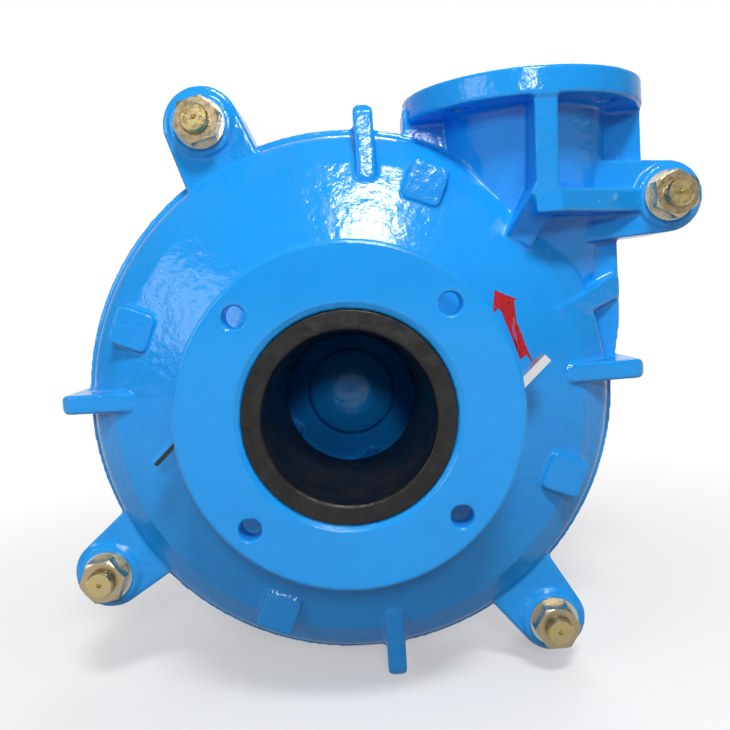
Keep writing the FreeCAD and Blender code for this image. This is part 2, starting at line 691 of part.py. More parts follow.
def impeller():
    """Closed impeller: front shroud with the eye, rear shroud with hub and nose, vanes and clearing bars."""
    floor = IMP_PASSAGE_END_Y
    bore = SHAFT_NOSE_R + SHAFT_FIT
    front = turned([(EYE_R + 1, IMP_FRONT_Y, 3), (IMP_R, IMP_FRONT_Y), (IMP_R, IMP_FRONT_Y + IMP_SHROUD),
                    (EYE_R + 26, IMP_FRONT_Y + IMP_SHROUD, 14), (EYE_R + 9, IMP_FRONT_Y + 9, 5)])
    rear = turned([(bore, floor - 26), (bore, HUB_END_Y), (HUB_R, HUB_END_Y), (HUB_R + 4, IMP_REAR_Y),
                   (IMP_R, IMP_REAR_Y), (IMP_R, floor), (78, floor, 20), (52, floor - 16, 24), (30, floor - 26)])
    dome = turned([(0, floor - NOSE_HIGH), (NOSE_R / 2, floor - NOSE_HIGH + 2, 20), (NOSE_R, floor - 27, 9),
                   (NOSE_R, floor - 12), (0, floor - 12)])
    dome = dome.cut(rod(bore, SHAFT_NOSE_Y - 2, HUB_END_Y + 22))
    body = join(front, rear, dome)
    for i in range(IMP_VANES):
        body = body.fuse(spun(vane(), 360.0 / IMP_VANES * i))
    for i in range(EXPEL_BARS):
        bar = block(EYE_R + 30, IMP_R - 10, IMP_FRONT_Y - EXPEL_HIGH, IMP_FRONT_Y + 1, -4, 4)
        back = block(HUB_R + 26, IMP_R - 4, IMP_REAR_Y - 1, IMP_REAR_Y + EXPEL_HIGH + 1, -4, 4)
        body = body.fuse(spun(bar, 360.0 / EXPEL_BARS * i + 12))
        body = body.fuse(spun(back, 360.0 / EXPEL_BARS * i + 30))
    return body.removeSplitter().common(rod(IMP_R, IMP_FRONT_Y - 50, IMP_REAR_Y + 70))


PARTS["impeller"] = impeller()
PARTS["impeller_seal_ring"] = tube(SHAFT_WET_R + 6, SHAFT_WET_R + 2, HUB_END_Y + FIT / 2, SLEEVE_Y - FIT / 2)


# ---------------------------------------------------------------- shaft line
def shaft():
    body = turned([(0, SHAFT_NOSE_Y), (SHAFT_NOSE_R - 2, SHAFT_NOSE_Y), (SHAFT_NOSE_R, SHAFT_NOSE_Y + 2),
                   (SHAFT_NOSE_R, SHAFT_STEP_Y), (SHAFT_WET_R, SHAFT_STEP_Y), (SHAFT_WET_R, SHAFT_SEAT_Y),
                   (SHAFT_SEAT_R, SHAFT_SEAT_Y), (SHAFT_SEAT_R, BEARING_Y[0] + BEARING_WIDE + SHAFT_SHOULDER),
                   (SHAFT_MID_R, BEARING_Y[0] + BEARING_WIDE + SHAFT_SHOULDER),
                   (SHAFT_MID_R, BEARING_Y[1] - SHAFT_SHOULDER), (SHAFT_SEAT_R, BEARING_Y[1] - SHAFT_SHOULDER),
                   (SHAFT_SEAT_R, LOCK_Y), (SHAFT_LOCK_R, LOCK_Y), (SHAFT_LOCK_R, SHAFT_LOCK_END_Y),
                   (SHAFT_DRIVE_R, SHAFT_LOCK_END_Y), (SHAFT_DRIVE_R, SHAFT_END_Y - 2),
                   (SHAFT_DRIVE_R - 2, SHAFT_END_Y), (0, SHAFT_END_Y)])
    return body.cut(key_shape(SHAFT_FIT))


def key_shape(grow):
    """Round-ended key, or with grow the keyway that it lies in, open at the top."""
    half = KEY_WIDE / 2.0
    low = SHAFT_DRIVE_R - KEY_DEEP
    top = low + KEY_HIGH + (KEY_HIGH if grow else 0.0)
    return along_z([(-half - grow, KEY_Y0 - grow, half - 1), (half + grow, KEY_Y0 - grow, half - 1),
                    (half + grow, KEY_Y1 + grow, half - 1), (-half - grow, KEY_Y1 + grow, half - 1)],
                   low - grow, top)


def labyrinth(bore, y_far, y_step, y_flange, y_end):
    """Grooved sealing collar: a thin tube at the bearing, a ring in the cover's bore and a flange outside."""
    return turned([(bore, y_far), (RACE_IN_R - 2, y_far), (RACE_IN_R - 2, y_step), (LABYRINTH_R, y_step),
                   (LABYRINTH_R, y_flange), (LABYRINTH_R + 12, y_flange), (LABYRINTH_R + 12, y_end), (bore, y_end)])


def lock_nut():
    nut = tube(RACE_IN_R + 4, SHAFT_LOCK_R + SLIP, LOCK_Y, LOCK_Y + LOCK_THICK)
    for i in range(4):
        notch = block(RACE_IN_R - 2, RACE_IN_R + 10, LOCK_Y - 1, LOCK_Y + LOCK_THICK + 1, -5, 5)
        nut = nut.cut(spun(notch, 90 * i))
    return nut


PARTS["shaft"] = shaft()
PARTS["shaft_key"] = key_shape(0.0)
PARTS["shaft_sleeve"] = tube(SLEEVE_R, SHAFT_WET_R + SHAFT_FIT, SLEEVE_Y, SLEEVE_END_Y)
PARTS["wet_labyrinth"] = labyrinth(SHAFT_SEAT_R + SHAFT_FIT, BEARING_Y[0] - 0.2, WET_COVER_Y + 3,
                                   WET_COVER_Y - 15, WET_COVER_Y - 23)
PARTS["drive_labyrinth"] = labyrinth(SHAFT_LOCK_R + SHAFT_FIT, LOCK_Y + LOCK_THICK + 0.5, DRIVE_COVER_Y - 3,
                                     DRIVE_COVER_Y + 3, DRIVE_COVER_Y + 11)
PARTS["bearing_lock_nut"] = lock_nut()


# ---------------------------------------------------------------- stuffing box and gland
def stuffing_box():
    flange_back = WALL_REAR_Y + BOX_FLANGE
    chamber_y = BOX_FRONT_Y + BOX_NECK
    neck_bore = SLEEVE_R + 5
    body = turned([(BOX_SPIGOT_R, BOX_FRONT_Y), (BOX_SPIGOT_R, WALL_REAR_Y), (BOX_FLANGE_R, WALL_REAR_Y),
                   (BOX_FLANGE_R, flange_back), (BOX_R + 20, flange_back), (BOX_R, flange_back + 6),
                   (BOX_R, BOX_END_Y), (PACK_R, BOX_END_Y), (PACK_R, chamber_y), (neck_bore, chamber_y),
                   (neck_bore, BOX_FRONT_Y)])
    studs = [(side * GLAND_STUD_X, 0) for side in (-1, 1)]
    for x, z in studs:
        body = body.fuse(rod(2 * GLAND_STUD_R, flange_back - 6, BOX_END_Y, x, z))
        x0, x1 = sorted((x * 0.65, x))
        body = body.fuse(block(x0, x1, flange_back - 6, BOX_END_Y, -2 * GLAND_STUD_R, 2 * GLAND_STUD_R))
    body = body.fuse(post(12, BOX_R - 6, BOX_R + 10, 0, PIPE_Y))
    body = body.cut(rod(PACK_R, chamber_y, BOX_END_Y + 1))
    body = drilled(body, GLAND_STUD_R + SLIP, studs, BOX_END_Y - STUD_DEEP - 10, BOX_END_Y + 1)
    body = body.cut(post(PIPE_R + SLIP, PACK_R - 20, BOX_R + 30, 0, PIPE_Y))
    body = drilled(body, BOX_SCREW_R + SLIP, BOX_SCREW_XZ, BOX_FRONT_Y - 4, flange_back + 12)
    return body.removeSplitter()


def box_screw(x, z):
    face = WALL_REAR_Y + BOX_FLANGE
    shank = rod(BOX_SCREW_R, WALL_REAR_Y - SCREW_DEEP, face, x, z)
    return shank.fuse(rod(BOX_SCREW_R + 2.5, face, face + 6, x, z))


def lantern_ring():
    """Ring with a groove all round, drilled through to the sleeve, that spreads the gland water."""
    end = LANTERN_Y + LANTERN_WIDE - FIT
    outside = PACK_R - 0.2
    ring = turned([(SLEEVE_R + SLEEVE_GAP, LANTERN_Y), (outside, LANTERN_Y), (outside, LANTERN_Y + 5),
                   (outside - 5, LANTERN_Y + 7), (outside - 5, end - 7), (outside, end - 5), (outside, end),
                   (SLEEVE_R + SLEEVE_GAP, end)])
    for i in range(4):
        hole = Part.makeCylinder(2.5, 40, V(SLEEVE_R - 5, PIPE_Y, 0), V(1, 0, 0))
        ring = ring.cut(spun(hole, 90 * i + 45))
    return ring


def gland():
    side = GLAND_STUD_X + 18
    nose = tube(PACK_R - 0.5, SLEEVE_R + 0.8, GLAND_Y, GLAND_PLATE_Y + 4)
    plate = along_y([(-side, -20, 18), (0, -PACK_R - 14, 56), (side, -20, 18), (side, 20, 18),
                     (0, PACK_R + 14, 56), (-side, 20, 18)], GLAND_PLATE_Y, GLAND_NUT_Y)
    body = join(nose, plate).cut(rod(SLEEVE_R + 0.8, GLAND_Y - 40, GLAND_NUT_Y + 20))
    return drilled(body, GLAND_STUD_R + 0.4, [(-GLAND_STUD_X, 0), (GLAND_STUD_X, 0)], GLAND_Y, GLAND_NUT_Y + 20)


PARTS["stuffing_box"] = stuffing_box()
PARTS["stuffing_box_screws"] = rest([box_screw(x, z) for x, z in BOX_SCREW_XZ])
PARTS["gland_water_pipe"] = join(
    post(PIPE_R, PACK_R + 4, BOX_R + 40, 0, PIPE_Y).cut(post(PIPE_R / 2, PACK_R, BOX_R + 50, 0, PIPE_Y)),
    hexagon_z(17, BOX_R + 10.2, BOX_R + 20, 0, PIPE_Y, PIPE_R / 2))
PARTS["neck_ring"] = tube(PACK_R - 0.2, SLEEVE_R + SLEEVE_GAP, BOX_FRONT_Y + BOX_NECK + 0.2, PACK_Y0 - FIT)
PARTS["lantern_ring"] = lantern_ring()
PARTS["packing_rings"] = rest([
    tube(PACK_R - 0.1, SLEEVE_R + SLEEVE_GAP, y, y + PACK_WIDE - FIT)
    for y in [PACK_Y0] + [OUTER_PACK_Y + i * PACK_WIDE for i in range(PACK_COUNT - 1)]])
PARTS["gland"] = gland()
PARTS["gland_studs"] = rest([rod(GLAND_STUD_R, BOX_END_Y - STUD_DEEP - 8, GLAND_STUD_END_Y, side * GLAND_STUD_X, 0)
                             for side in (-1, 1)])
PARTS["gland_nuts"] = rest([hexagon(24, GLAND_NUT_Y, GLAND_NUT_Y + GLAND_NUT, side * GLAND_STUD_X, 0,
                                    GLAND_STUD_R + 0.4, 0, 1.0) for side in (-1, 1)])


# ---------------------------------------------------------------- bearing cartridge
EAR_XY = [(side * CLAMP_X, y + EAR_LONG / 2) for side in (-1, 1) for y in EAR_Y]


def slot_z(x, y, radius, play, z0, z1):
    """Slot through a level plate, long along Y."""
    return along_z([(x - radius, y - radius - play, radius - 0.1), (x + radius, y - radius - play, radius - 0.1),
                    (x + radius, y + radius + play, radius - 0.1), (x - radius, y + radius + play, radius - 0.1)],
                   z0, z1)


def bearing_housing():
    body = rod(HOUSING_R - 6, HOUSING_Y0, HOUSING_Y1)
    for y0, y1 in ((HOUSING_Y0, EAR_Y[0] + EAR_LONG), (EAR_Y[1] - 10, HOUSING_Y1)):
        body = body.fuse(rod(HOUSING_R, y0, y1))
    half = EAR_LONG / 2
    for x, y in EAR_XY:
        x0, x1 = sorted((math.copysign(HOUSING_R - 26, x), math.copysign(CLAMP_X + 20, x)))
        ear = along_z([(x0, y - half), (x1, y - half, 6), (x1, y + half, 6), (x0, y + half)] if x > 0 else
                      [(x0, y - half, 6), (x1, y - half), (x1, y + half), (x0, y + half, 6)],
                      -EAR_THICK / 2, EAR_THICK / 2)
        body = body.fuse(ear)
    lug = along_y([(-24, -HOUSING_R + 16), (24, -HOUSING_R + 16), (24, ADJ_Z - 20, 14), (-24, ADJ_Z - 20, 14)],
                  ADJ_LUG_Y, ADJ_LUG_Y + ADJ_LUG)
    body = body.fuse(lug)
    for y in NIPPLE_Y:
        body = body.fuse(post(10, HOUSING_R - 16, HOUSING_R + 3, 0, y))
    for y0, y1 in ((HOUSING_Y0 - 1, BEARING_Y[0] + BEARING_WIDE + 2), (BEARING_Y[1] - 2, HOUSING_Y1 + 1)):
        body = body.cut(rod(RACE_OUT_R1 + SHAFT_FIT, y0, y1))
    body = body.cut(rod(RACE_OUT_R1 - 7, HOUSING_Y0 - 1, HOUSING_Y1 + 1))
    body = body.cut(rod(ADJ_R + SLIP, ADJ_LUG_Y - 40, ADJ_LUG_Y + 60, 0, ADJ_Z))
    body = drilled_z(body, NIPPLE_R + SLIP, [(0, y) for y in NIPPLE_Y], RACE_OUT_R0, HOUSING_R + 24)
    for x, y in EAR_XY:
        body = body.cut(slot_z(x, y, CLAMP_R + 1, SLOT_PLAY, -EAR_THICK, EAR_THICK))
    for y0, y1 in ((HOUSING_Y0 - 1, HOUSING_Y0 + 20), (HOUSING_Y1 - 20, HOUSING_Y1 + 1)):
        body = drilled(body, COVER_SCREW_R + SLIP, COVER_SCREW_XZ, y0, y1)
    return body.removeSplitter()


def end_cover(face, edge, race, lip):
    """Cover on the housing's end: face is the housing's, edge its own outside, race the bearing's side
    and lip the end of the collar round the labyrinth."""
    out = math.copysign(1, edge - face)
    body = turned([(LABYRINTH_R + 1, lip), (LABYRINTH_R + 16, lip), (LABYRINTH_R + 19, edge), (HOUSING_R, edge),
                   (HOUSING_R, face), (RACE_OUT_R1 - 0.2, face), (RACE_OUT_R1 - 0.2, race + 0.2 * out),
                   (RACE_OUT_R1 - 7, race + 0.2 * out), (RACE_OUT_R1 - 7, face + 4 * out),
                   (LABYRINTH_R + 1, face + 4 * out)])
    return drilled(body, COVER_SCREW_R + SLIP, COVER_SCREW_XZ, min(face, edge) - 20, max(face, edge) + 20)


def cover_screw(x, z, face, way):
    shank = rod(COVER_SCREW_R, min(face, face + way * 28), max(face, face + way * 28), x, z)
    head = hexagon_plain(13, min(face, face - way * 6), max(face, face - way * 6), x, z)
    return shank.fuse(head).removeSplitter()


PARTS["bearing_housing"] = bearing_housing()
PARTS["wet_end_cover"] = end_cover(HOUSING_Y0, HOUSING_Y0 - END_COVER, BEARING_Y[0], WET_COVER_Y)
PARTS["drive_end_cover"] = end_cover(HOUSING_Y1, HOUSING_Y1 + END_COVER, BEARING_Y[1] + BEARING_WIDE, DRIVE_COVER_Y)
PARTS["end_cover_screws"] = rest(
    [cover_screw(x, z, HOUSING_Y0 - END_COVER, 1) for x, z in COVER_SCREW_XZ]
    + [cover_screw(x, z, HOUSING_Y1 + END_COVER, -1) for x, z in COVER_SCREW_XZ])

for name, y in (("wet", BEARING_Y[0]), ("drive", BEARING_Y[1])):
    PARTS[name + "_inner_race"] = turned([
        (SHAFT_SEAT_R + SHAFT_FIT, y), (RACE_IN_R + 3, y), (RACE_IN_R + 3, y + 4), (RACE_IN_R, y + 4),
        (RACE_IN_R, y + BEARING_WIDE - 4), (RACE_IN_R + 3, y + BEARING_WIDE - 4),
        (RACE_IN_R + 3, y + BEARING_WIDE), (SHAFT_SEAT_R + SHAFT_FIT, y + BEARING_WIDE)])
    PARTS[name + "_outer_race"] = tube(RACE_OUT_R1, RACE_OUT_R0, y, y + BEARING_WIDE)
    PARTS[name + "_rollers"] = rest([rod(ROLLER_R, y + 5, y + BEARING_WIDE - 5, x, z)
                                     for x, z in around(ROLLER_RING_R, ROLLERS)])

PARTS["grease_nipples"] = rest([
    join(post(NIPPLE_R, HOUSING_R - 14, HOUSING_R + 4, 0, y), hexagon_z(11, HOUSING_R + 3.2, HOUSING_R + 9, 0, y, 0),
         post(NIPPLE_R, HOUSING_R + 9, HOUSING_R + 18, 0, y)) for y in NIPPLE_Y])


# ---------------------------------------------------------------- pedestal
def low_half(shape, top):
    return shape.common(block(-300, 300, 200, 900, -CENTRE_HIGH, top))


def pedestal():
    floor = -CENTRE_HIGH
    ring = turned([(RING_IN_R, WALL_REAR_Y), (RING_R, WALL_REAR_Y), (RING_R, RING_BACK), (RING_IN_R, RING_BACK)])
    # half-round trough under the gland, then the cradle that the cartridge lies in
    trough = tube(CRADLE_R + 26, CRADLE_R + 10, RING_BACK - 1, HOUSING_Y0 + 13)
    cradle = tube(CRADLE_R, HOUSING_R + FIT, HOUSING_Y0 + 5, HOUSING_Y1 - 6)
    wall = tube(CRADLE_R + 26, HOUSING_R + FIT, HOUSING_Y0 - 7, HOUSING_Y0 + 13)
    seat_z = -EAR_THICK / 2 - FIT
    body = join(ring, low_half(trough, -30), low_half(cradle, seat_z), low_half(wall, -30))
    half = EAR_LONG / 2
    for x, y in EAR_XY:
        x0, x1 = sorted((math.copysign(HOUSING_R + FIT + 1, x), math.copysign(CLAMP_X + 20, x)))
        body = body.fuse(block(x0, x1, y - half, y + half, -76, seat_z))
    # side walls down to the feet, with gussets outside
    for side in (-1, 1):
        x0, x1 = sorted((side * SIDE_X, side * (SIDE_X + WEB)))
        wall = along_x([(RING_BACK - 4, -150), (RING_BACK - 4, -96), (FOOT_Y1 - 22, -60), (FOOT_Y1 - 22, -160),
                        (FOOT_Y1 - 8, floor + 4), (FOOT_Y0 + 8, floor + 4), (FOOT_Y0 + 8, floor + 70, 30)], x0, x1)
        body = body.fuse(wall)
        foot = along_z([(side * (SIDE_X - 4), FOOT_Y0), (side * FOOT_NOSE, FOOT_Y0, 16),
                        (side * FOOT_HALF, FOOT_Y0 + 70, 40), (side * FOOT_HALF, FOOT_Y1, 22),
                        (side * (SIDE_X - 4), FOOT_Y1)], floor, floor + FOOT_THICK)
        body = body.fuse(foot)
        edge = side * (FOOT_HALF - 10)
        inner = side * (SIDE_X + 12)
        for y in GUSSET_Y:
            outline = Part.makePolygon([V(inner, y, floor + 10), V(edge, y, floor + 10),
                                        V(edge, y, floor + FOOT_THICK + 6), V(inner + side * 12, y, -110),
                                        V(inner, y, -110), V(inner, y, floor + 10)])
            body = body.fuse(Part.Face(outline).extrude(V(0, 14, 0)))
    # cross walls between the side walls
    for y0, thick, top in ((FOOT_Y0 + 60, 14, -136), (ADJ_Y, ADJ_WALL, -112), (FOOT_Y1 - 60, 14, -112)):
        body = body.fuse(block(-SIDE_X - 4, SIDE_X + 4, y0, y0 + thick, floor + 12, top))
    body = body.cut(rod(HOUSING_R + FIT, HOUSING_Y0 - 11, HOUSING_Y1 + 140))
    body = body.cut(rod(RING_IN_R - 0.01, 200, HOUSING_Y0 - 7))
    # room for the adjusting screw, its nuts and the cartridge's lug
    body = body.cut(rod(ADJ_R + 0.4, ADJ_Y - 85, ADJ_LUG_Y, 0, ADJ_Z))
    body = body.cut(block(-27, 27, ADJ_LUG_Y - 12, ADJ_LUG_Y + ADJ_LUG + 14, ADJ_Z - 26, -60))
    for y0 in (ADJ_Y - 26, ADJ_Y + ADJ_WALL + 0.4):
        body = body.cut(rod(22, y0, y0 + 25.6, 0, ADJ_Z))
    body = drilled_z(body, CLAMP_R + SLIP, EAR_XY, -70, 10)
    foot_bolts = [(side * FOOT_BOLT_X, y) for side in (-1, 1) for y in FOOT_BOLT_Y]
    body = drilled_z(body, FOOT_HOLE_R, foot_bolts, floor - 1, floor + 60)
    body = drilled(body, STUD_R + SLIP, RING_XZ, WALL_REAR_Y - 1, RING_BACK + 1)
    body = drilled(body, 21, RING_XZ, RING_BACK, RING_BACK + 30)
    return body.removeSplitter()


PARTS["pedestal"] = pedestal()
PARTS["frame_plate_studs"] = rest([rod(STUD_R, WALL_REAR_Y - STUD_DEEP, RING_BACK + 22, x, z) for x, z in RING_XZ])
PARTS["frame_plate_nuts"] = rest([hexagon(30, RING_BACK, RING_BACK + 16, x, z, STUD_R + SLIP, 0, 1.2)
                                  for x, z in RING_XZ])

EAR_TOP = EAR_THICK / 2
PARTS["clamp_bolts"] = rest([
    join(post(CLAMP_R, EAR_TOP - 76, EAR_TOP + CLAMP_WASHER + 0.4, x, y),
         hexagon_z(24, EAR_TOP + CLAMP_WASHER + FIT, EAR_TOP + CLAMP_WASHER + 10 + FIT, x, y, 0)) for x, y in EAR_XY])
PARTS["clamp_washers"] = rest([
    post(17, EAR_TOP + FIT, EAR_TOP + FIT + CLAMP_WASHER, x, y).cut(post(CLAMP_R + SLIP, 0, 40, x, y))
    for x, y in EAR_XY])

ADJ_END_Y = ADJ_LUG_Y + ADJ_LUG + 25
PARTS["adjusting_screw"] = turned([(0, ADJ_Y - 44), (ADJ_R - 1, ADJ_Y - 44), (ADJ_R, ADJ_Y - 43),
                                   (ADJ_R, ADJ_END_Y - 1), (ADJ_R - 1, ADJ_END_Y), (0, ADJ_END_Y)], 0, ADJ_Z)
PARTS["adjusting_nuts"] = rest([hexagon(30, y, y + 16, 0, ADJ_Z, ADJ_R + SLIP, 0, 1.2)
                                for y in (ADJ_Y - 17, ADJ_Y + ADJ_WALL + 1)])


# ---------------------------------------------------------------- files
os.makedirs("parts", exist_ok=True)
for name, shape in PARTS.items():
    for solid in shape.Solids:
        if not solid.isValid():
            print("not valid:", name)
    if len(shape.Solids) == 1:
        shape = shape.Solids[0]
    shape.exportStep("parts/" + name + ".step")
    box = shape.BoundBox
    print("%-22s solids %2d  x %7.1f %7.1f  y %7.1f %7.1f  z %7.1f %7.1f  %8.1f cm3" % (
        name, len(shape.Solids), box.XMin, box.XMax, box.YMin, box.YMax, box.ZMin, box.ZMax,
        shape.Volume / 1000.0))
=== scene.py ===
import json
import math

import bmesh
import bpy
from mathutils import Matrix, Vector, noise


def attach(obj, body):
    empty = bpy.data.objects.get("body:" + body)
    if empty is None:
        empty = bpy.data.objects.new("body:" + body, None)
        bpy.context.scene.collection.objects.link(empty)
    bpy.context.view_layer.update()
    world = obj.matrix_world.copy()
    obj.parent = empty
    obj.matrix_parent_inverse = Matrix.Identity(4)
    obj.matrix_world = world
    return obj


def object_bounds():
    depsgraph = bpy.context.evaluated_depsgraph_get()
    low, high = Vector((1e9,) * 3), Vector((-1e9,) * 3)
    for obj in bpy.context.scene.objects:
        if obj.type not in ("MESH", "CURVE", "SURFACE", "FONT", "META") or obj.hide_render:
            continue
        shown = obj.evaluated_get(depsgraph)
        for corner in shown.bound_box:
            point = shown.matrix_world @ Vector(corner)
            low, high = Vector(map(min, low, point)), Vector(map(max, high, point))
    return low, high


# Looks of a horizontal slurry pump: gloss enamel over iron castings, moulded rubber, zinc-plated fasteners.
# Metres.  The intake faces -Y, the drive end +Y and the discharge +Z; +X is right seen from the intake.

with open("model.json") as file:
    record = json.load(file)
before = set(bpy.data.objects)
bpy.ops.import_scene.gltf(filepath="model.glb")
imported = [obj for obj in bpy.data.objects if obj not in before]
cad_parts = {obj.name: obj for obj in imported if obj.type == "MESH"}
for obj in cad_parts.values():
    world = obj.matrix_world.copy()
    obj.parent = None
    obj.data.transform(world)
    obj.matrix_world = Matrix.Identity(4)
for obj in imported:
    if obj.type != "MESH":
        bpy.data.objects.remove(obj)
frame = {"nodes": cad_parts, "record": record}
cad_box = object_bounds()
nodes = frame["nodes"]

MM = 0.001


# ---------------------------------------------------------------- shader building blocks
def new_group(name, inputs, outputs):
    """Shader node group with float, colour or vector sockets; returns its tree, input and output nodes."""
    tree = bpy.data.node_groups.new(name, "ShaderNodeTree")
    for socket_name, kind, value in inputs:
        socket = tree.interface.new_socket(socket_name, in_out="INPUT", socket_type="NodeSocket" + kind)
        if value is not None:
            socket.default_value = value
    for socket_name, kind in outputs:
        tree.interface.new_socket(socket_name, in_out="OUTPUT", socket_type="NodeSocket" + kind)
    return tree, tree.nodes.new("NodeGroupInput"), tree.nodes.new("NodeGroupOutput")


def node(tree, kind, **settings):
    made = tree.nodes.new("ShaderNode" + kind)
    for key, value in settings.items():
        if key in made.inputs:
            made.inputs[key].default_value = value
        else:
            setattr(made, key, value)
    return made


def wire(tree, source, target):
    tree.links.new(source, target)


def math_node(tree, operation, a, b=0.0, c=0.0):
    """Math node whose inputs are sockets or plain numbers; returns its output."""
    made = tree.nodes.new("ShaderNodeMath")
    made.operation = operation
    for i, value in enumerate((a, b, c)):
        if isinstance(value, (int, float)):
            made.inputs[i].default_value = value
        else:
            tree.links.new(value, made.inputs[i])
    return made.outputs[0]


def noise_node(tree, where, scale, detail=2.0, rough=0.5, distort=0.0):
    made = node(tree, "TexNoise", Scale=scale, Detail=detail, Roughness=rough, Distortion=distort)
    wire(tree, where, made.inputs["Vector"])
    return made.outputs["Fac"]


def stretch(tree, value, low, high, to_low=0.0, to_high=1.0):
    """The value from low..high laid onto to_low..to_high, clamped."""
    made = tree.nodes.new("ShaderNodeMapRange")
    wire(tree, value, made.inputs["Value"])
    for key, number in (("From Min", low), ("From Max", high), ("To Min", to_low), ("To Max", to_high)):
        made.inputs[key].default_value = number
    return made.outputs["Result"]


def mix_colour(tree, factor, a, b):
    """Colour between a and b by factor; each is a socket or a plain value.
    Sockets 6, 7 and output 2 are the mix node's colour ones."""
    made = tree.nodes.new("ShaderNodeMix")
    made.data_type = "RGBA"
    for socket, value in ((made.inputs[0], factor), (made.inputs[6], a), (made.inputs[7], b)):
        if isinstance(value, (int, float, tuple)):
            socket.default_value = value
        else:
            tree.links.new(value, socket)
    return made.outputs[2]


def object_place(tree):
    """The piece's own coordinates in metres, as one vector."""
    return node(tree, "TexCoord").outputs["Object"]


def split_place(tree):
    """The node that gives the piece's own X, Y and Z in metres, one by one."""
    made = node(tree, "SeparateXYZ")
    wire(tree, object_place(tree), made.inputs[0])
    return made


# ---------------------------------------------------------------- effects shared by materials
def make_cast_relief():
    """Height in metres of a sand casting under paint: broad lumps, orange peel and a few grains of dirt."""
    tree, inp, out = new_group(
        "cast_relief",
        [("Lump", "Float", 0.0003), ("Peel", "Float", 0.00004), ("Grain", "Float", 0.0001),
         ("Mask", "Float", 1.0)],
        [("Height", "Float")])
    where = object_place(tree)
    broad = noise_node(tree, where, 42.0, 2.0, 0.45)
    lumps = noise_node(tree, where, 120.0, 2.0, 0.5, 0.3)
    peel = noise_node(tree, where, 420.0, 1.0, 0.5)
    spots = node(tree, "TexVoronoi", Scale=150.0)
    wire(tree, where, spots.inputs["Vector"])
    nib = stretch(tree, spots.outputs["Distance"], 0.02, 0.14, 1.0, 0.0)
    seldom = stretch(tree, noise_node(tree, where, 31.0), 0.56, 0.62)
    lump = math_node(tree, "MULTIPLY_ADD", broad, 1.6, lumps)
    height = math_node(tree, "MULTIPLY", lump, inp.outputs["Lump"])
    height = math_node(tree, "MULTIPLY_ADD", peel, inp.outputs["Peel"], height)
    grains = math_node(tree, "MULTIPLY", math_node(tree, "MULTIPLY", nib, seldom), inp.outputs["Grain"])
    height = math_node(tree, "ADD", height, grains)
    wire(tree, math_node(tree, "MULTIPLY", height, inp.outputs["Mask"]), out.inputs["Height"])
    return tree


def make_paint_tone():
    """Colour and roughness of brushed-on enamel: lighter where thin, deeper where thick, dusty on top.
    Gloss is the roughness of a clean place."""
    tree, inp, out = new_group(
        "paint_tone",
        [("Colour", "Color", (0.5, 0.5, 0.5, 1)), ("Deep", "Color", (0.2, 0.2, 0.2, 1)),
         ("Dust", "Color", (0.6, 0.6, 0.6, 1)), ("Dust amount", "Float", 0.05), ("Gloss", "Float", 0.18)],
        [("Colour", "Color"), ("Roughness", "Float")])
    where = object_place(tree)
    wide = noise_node(tree, where, 9.0, 3.0, 0.55)
    close = noise_node(tree, where, 70.0, 3.0, 0.6)
    depth = stretch(tree, math_node(tree, "MULTIPLY_ADD", close, 0.35, wide), 0.5, 0.95, 0.0, 0.35)
    colour = mix_colour(tree, depth, inp.outputs["Colour"], inp.outputs["Deep"])
    upward = node(tree, "SeparateXYZ")
    wire(tree, node(tree, "NewGeometry").outputs["Normal"], upward.inputs[0])
    top = stretch(tree, upward.outputs["Z"], 0.2, 1.0)
    settled = math_node(tree, "MULTIPLY", top, stretch(tree, close, 0.4, 0.7))
    dust = math_node(tree, "MULTIPLY", settled, inp.outputs["Dust amount"])
    wire(tree, mix_colour(tree, dust, colour, inp.outputs["Dust"]), out.inputs["Colour"])
    rough = math_node(tree, "ADD", stretch(tree, close, 0.3, 0.7, 0.0, 0.08), inp.outputs["Gloss"])
    wire(tree, math_node(tree, "MULTIPLY_ADD", dust, 0.6, rough), out.inputs["Roughness"])
    return tree


def make_handling_marks():
    """Mask of fine scuffs and rubbed spots, with a small height for the scratches."""
    tree, inp, out = new_group(
        "handling_marks",
        [("Scale", "Float", 60.0), ("Amount", "Float", 0.5)],
        [("Mask", "Float"), ("Height", "Float")])
    where = object_place(tree)
    long = node(tree, "Mapping")
    long.inputs["Rotation"].default_value = (0.4, 0.9, 0.3)
    long.inputs["Scale"].default_value = (1.0, 14.0, 14.0)
    wire(tree, where, long.inputs["Vector"])
    lines = node(tree, "TexNoise", Detail=3.0, Roughness=0.6)
    wire(tree, long.outputs[0], lines.inputs["Vector"])
    wire(tree, inp.outputs["Scale"], lines.inputs["Scale"])
    patches = noise_node(tree, where, 24.0, 3.0, 0.6)
    scratch = stretch(tree, lines.outputs["Fac"], 0.58, 0.66)
    rubbed = stretch(tree, patches, 0.48, 0.68)
    both = math_node(tree, "MULTIPLY", math_node(tree, "MULTIPLY", scratch, rubbed), inp.outputs["Amount"])
    wire(tree, both, out.inputs["Mask"])
    wire(tree, math_node(tree, "MULTIPLY", both, -0.00003), out.inputs["Height"])
    return tree


